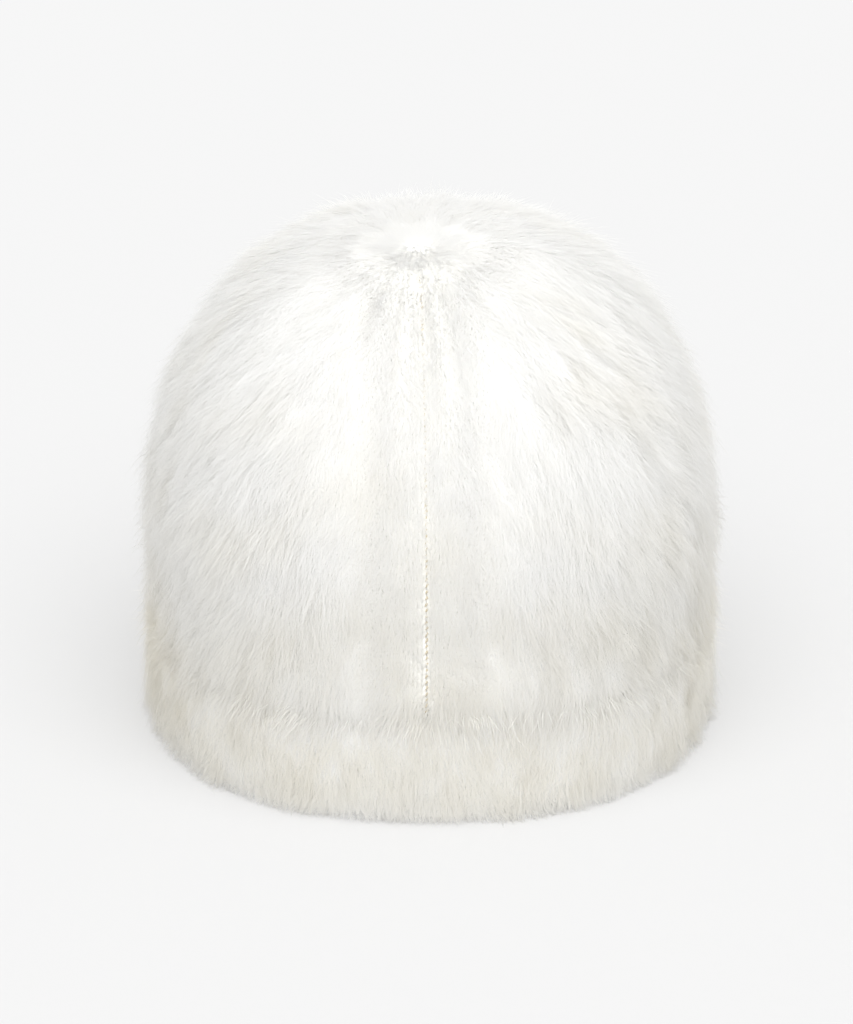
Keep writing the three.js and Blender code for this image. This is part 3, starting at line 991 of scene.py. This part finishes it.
def crown_locks(count, density, stretch, flatness, chance):
    """Locks over the crown, longer and steeper where the pile is full."""
    azimuth, climb = scatter(count, (0.54, 1.985), density, chance)
    full = fullness(azimuth, climb)
    bare = 1 - smoothstep(full, 0, 0.3)
    point, _, down, normal = surface_frame(azimuth, climb, nap_offset(azimuth, climb) + 1.2 * MM * bare)
    hem = (1 - smoothstep(point[:, 2], 37 * MM, 50 * MM)) * bare
    full = full + 0.6 * hem
    near_top = 1 - smoothstep(from_gather(azimuth, climb), 10 * MM, 60 * MM)
    low = 1 - smoothstep(point[:, 2], 20 * MM, 125 * MM)
    crest = fold_lift(azimuth, from_gather(azimuth, climb)) / MM
    # Painted light and shade in the tone: creamier lower down, where less light falls, paler on the folds'
    # crests and creamier in their dents, and creamier under the crown's edge at the sides. Blotch and shag
    # vary it at random.
    tone = 0.06 + 0.35 * low + painted_hem_shade(azimuth, point[:, 2]) - 0.16 * crest.clip(-0.3, 2)
    tone = tone + 0.06 * blotch(point) + 0.05 * shag(point)
    return {
        "azimuth": azimuth,
        "point": point - 0.5 * MM * normal,
        "normal": normal,
        "flow": brushed(azimuth, climb, down, normal, point, chance),
        "length": (5 + 11 * full) * MM * stretch * (1 + 0.14 * shag(point)) * (1 - 0.42 * near_top),
        "rise": np.radians((15 + 9 * full + 4 * near_top + 12 * bare) * flatness
                           + 6 * chance.normal(size=count)),
        "fall": np.radians((3 + 3 * full + 5 * near_top) * flatness + 5 * chance.normal(size=count)),
        "tone": tone.clip(0.04, 0.96) + 0.05 * chance.normal(size=count),
    }


def fuller_away(azimuth, climb):
    """Thinner where the knit shows."""
    return 0.75 + 0.25 * fullness(azimuth, climb)


def parted(hairs):
    """The hairs less most of those that would lie over the sewn seam, more of them lower down."""
    ends = hairs["lines"][:, [0, -1]]
    side = np.abs(ends[..., 0] - np.tan(np.radians(-SEAM_AZIMUTH)) * ends[..., 1])
    height = ends[..., 2].mean(axis=1)
    over = (side.min(axis=1) < 0.7 * MM) & (ends[:, 0, 1] < 0) & (height > 34 * MM)
    share = 0.15 + 0.85 * smoothstep(height, 70 * MM, 115 * MM)
    keep = ~over | (chance.random(len(over)) < share)
    return {key: value[keep] for key, value in hairs.items()}


SECTORS = 4
UNDER_WIDTH = 0.34 * MM
LONG_WIDTH = 0.16 * MM
chance = np.random.default_rng(4)
under_locks = crown_locks(11500, fuller_away, stretch=0.62, flatness=0.4, chance=chance)
under_hairs = parted(combed(under_locks, per_lock=6, spread=2.2 * MM, keep=0.15, spans=1, chance=chance))
fur_sectors("crown_underpile", under_hairs, UNDER_WIDTH, crown_fur, "crown_fur", "crown_pile", chance)

long_locks = crown_locks(13200, fuller_away, stretch=1.0, flatness=1.0, chance=chance)
long_hairs = parted(combed(long_locks, per_lock=12, spread=1.8 * MM, keep=0.35, spans=2, chance=chance))
fur_sectors("crown_long_pile", long_hairs, LONG_WIDTH, crown_fur, "crown_fur", "crown_pile", chance, SECTORS)

# %% [markdown]
# ## The crown's hem
# Fur hangs from the crown over the top of the cuff and hides that edge. These locks are rooted just
# about the edge, and point a little inwards at their tips.

# %% The crown's hem of pile, which hangs over the top of the cuff
FINE_WIDTH = 0.17 * MM
hem_azimuth, hem_climb = scatter(1100, (0.565, 0.72), fuller_away, chance)
hem_height = nap_offset(hem_azimuth, hem_climb)
hem_point, _, hem_down, hem_normal = surface_frame(hem_azimuth, hem_climb, hem_height)
hem_locks = {
    "azimuth": hem_azimuth,
    "point": hem_point - 0.3 * MM * hem_normal,
    "normal": hem_normal,
    "flow": brushed(hem_azimuth, hem_climb, hem_down, hem_normal, hem_point, chance),
    "length": 13 * MM * (1 + 0.2 * shag(hem_point)),
    "rise": np.radians(20 + 7 * chance.normal(size=len(hem_azimuth))),
    "fall": np.radians(-3 + 6 * chance.normal(size=len(hem_azimuth))),
    # The hem's tone is paler than the crown's fur beside it, as painted light against the shade over the
    # cuff's top, and creamier under the crown's edge at the sides, as painted shade.
    "tone": 0.2 + painted_hem_shade(hem_azimuth, hem_point[:, 2]) + 0.05 * chance.normal(size=len(hem_azimuth)),
}
hem_hairs = parted(combed(hem_locks, per_lock=10, spread=2.0 * MM, keep=0.35, spans=2, chance=chance))
fur_sectors("crown_hem", hem_hairs, FINE_WIDTH, crown_fur, "crown_fur", "crown_pile", chance)

# %% [markdown]
# ## Fuzz
# The knit is brushed even where the pile is thin. Short, fine hairs veil the stitches there, which
# softens them and keeps the gaps between them light.

# %% Short fuzz over the thin places
FUZZ = 6 * MM


def thin_places(azimuth, climb):
    """Most where the long pile is thin: by the seam, and all round the gather."""
    behind = np.abs((azimuth + 180) % 360 - 180) < 90
    near = from_gather(azimuth, climb) < 40 * MM
    centre = 1 + 6 * np.exp(-((from_gather(azimuth, climb) / (10 * MM)) ** 2))
    return np.where(behind | near, (1 - fullness(azimuth, climb)) ** 1.2, 0) * centre


fuzz_azimuth, fuzz_climb = scatter(15000, (0.56, 1.995), thin_places, chance)
fuzz_full = fullness(fuzz_azimuth, fuzz_climb)
fuzz_height = nap_offset(fuzz_azimuth, fuzz_climb) + 0.6 * MM
fuzz_point, _, fuzz_down, fuzz_normal = surface_frame(fuzz_azimuth, fuzz_climb, fuzz_height)
fuzz_top = 1 - smoothstep(from_gather(fuzz_azimuth, fuzz_climb), 5 * MM, 40 * MM)
fuzz_low = 1 - smoothstep(fuzz_point[:, 2], 20 * MM, 125 * MM)
fuzz_crest = fold_lift(fuzz_azimuth, from_gather(fuzz_azimuth, fuzz_climb)) / MM
# Painted light and shade in the tone: creamier lower down, paler on the folds' crests and creamier in their
# dents. Blotch varies it at random.
fuzz_tone = 0.06 + 0.14 * fuzz_low - 0.14 * fuzz_crest + 0.06 * blotch(fuzz_point)
fuzz_locks = {
    "azimuth": fuzz_azimuth,
    "point": fuzz_point,
    "normal": fuzz_normal,
    "flow": brushed(fuzz_azimuth, fuzz_climb, fuzz_down, fuzz_normal, fuzz_point, chance),
    "length": FUZZ * (0.8 + 0.6 * fuzz_full) * chance.uniform(0.6, 1.2, len(fuzz_azimuth)),
    "rise": np.radians(16 + 10 * fuzz_top + 8 * chance.normal(size=len(fuzz_azimuth))),
    "fall": np.radians(6 + 7 * fuzz_top + 6 * chance.normal(size=len(fuzz_azimuth))),
    "tone": fuzz_tone.clip(0.04, 0.96) + 0.05 * chance.normal(size=len(fuzz_azimuth)),
}
fuzz_hairs = parted(combed(fuzz_locks, per_lock=6, spread=1.4 * MM, keep=0.15, spans=1, chance=chance))
fur_sectors("seam_fuzz", fuzz_hairs, FINE_WIDTH, crown_fur, "crown_fur", "crown_pile", chance)

# %% [markdown]
# ## The fur of the cuff
# The cuff's pile is denser than the crown's and brushed down. At the rim it is short and steep, as it
# would go through the table otherwise.

# %% Cuff pile
# A little creamier than the crown's fur: painted shade on the cuff, which lies low.
cuff_fur = fur_material("cuff_fur", (0.98, 0.975, 0.955), (0.93, 0.91, 0.85))
CUFF_EDGE = 34 * MM


def cuff_locks(count, stretch, flatness, chance):
    """Locks of the cuff, brushed down, with roots evenly spread along a path up it.

    Past the cuff's edge the path leans inwards over its rounded top. Towards the rim, a lock's room is
    its height over 13 mm, and less room makes it shorter and steeper, and paler: painted light
    against the shade by the floor.
    """
    azimuth = chance.uniform(-180, 180, count)
    path = 0.8 * MM + 38.2 * MM * chance.random(count)
    over = (path - CUFF_EDGE).clip(0)
    height = path - 0.55 * over
    offset = LEAF_OUTSIDE + cuff_bulge(height) - 0.5 * MM - 0.7 * over
    point = np.stack([*rim_point(azimuth, offset), height], axis=-1)
    ahead = np.stack([*rim_point(azimuth + 0.2, offset), height], axis=-1)
    around = unit(ahead - point)
    outward = unit(np.cross([0.0, 0.0, -1.0], around))
    bend = 0.75 * (over / (5 * MM)).clip(0, 1)[:, None]
    down = unit((1 - bend) * np.array([0.0, 0.0, -1.0]) + bend * outward)
    normal = unit(np.cross(down, around))
    lean = np.radians(9) * sway(point) + np.radians(7) * flick(point)
    lean = lean + np.radians(7) * chance.normal(size=count)
    room = (height / (13 * MM)).clip(0, 1)
    # Painted light and shade in the tone: paler towards the rim, against the shade by the floor, and
    # creamier under the crown's edge at the sides. Blotch and shag vary it at random.
    tone = 0.1 + 0.28 * room + 0.5 * painted_hem_shade(azimuth, height) + 0.07 * blotch(point) + 0.05 * shag(point)
    return {
        "azimuth": azimuth,
        "point": point,
        "normal": normal,
        "flow": unit(np.cos(lean)[:, None] * down + np.sin(lean)[:, None] * around),
        "length": 13 * MM * stretch * (1 + 0.12 * shag(point)) * (0.45 + 0.55 * room),
        "rise": np.radians(24 * flatness + 24 * (1 - room) + 6 * chance.normal(size=count)),
        "fall": np.radians(2 + 16 * (1 - room) + 5 * chance.normal(size=count)),
        "tone": tone + 0.05 * chance.normal(size=count),
    }


def kept_off_the_floor(hairs):
    """No hair goes through the floor: one that would lies along it."""
    hairs["lines"][..., 2] = np.maximum(hairs["lines"][..., 2], 0.15 * MM)
    return hairs


under_locks = cuff_locks(4500, stretch=0.62, flatness=0.5, chance=chance)
under_hairs = combed(under_locks, per_lock=6, spread=2.0 * MM, keep=0.15, spans=1, chance=chance)
under_hairs = kept_off_the_floor(under_hairs)
fur_sectors("cuff_underpile", under_hairs, UNDER_WIDTH, cuff_fur, "cuff_fur", "cuff_pile", chance)

long_locks = cuff_locks(4600, stretch=1.0, flatness=1.0, chance=chance)
long_hairs = combed(long_locks, per_lock=10, spread=1.7 * MM, keep=0.35, spans=2, chance=chance)
long_hairs = kept_off_the_floor(long_hairs)
fur_sectors("cuff_long_pile", long_hairs, LONG_WIDTH, cuff_fur, "cuff_fur", "cuff_pile", chance)

# %% [markdown]
# ## Triangles
# The triangles of all the pieces are added up.

# %% Triangles in all
print("triangles in all:", sum(totals.values()))
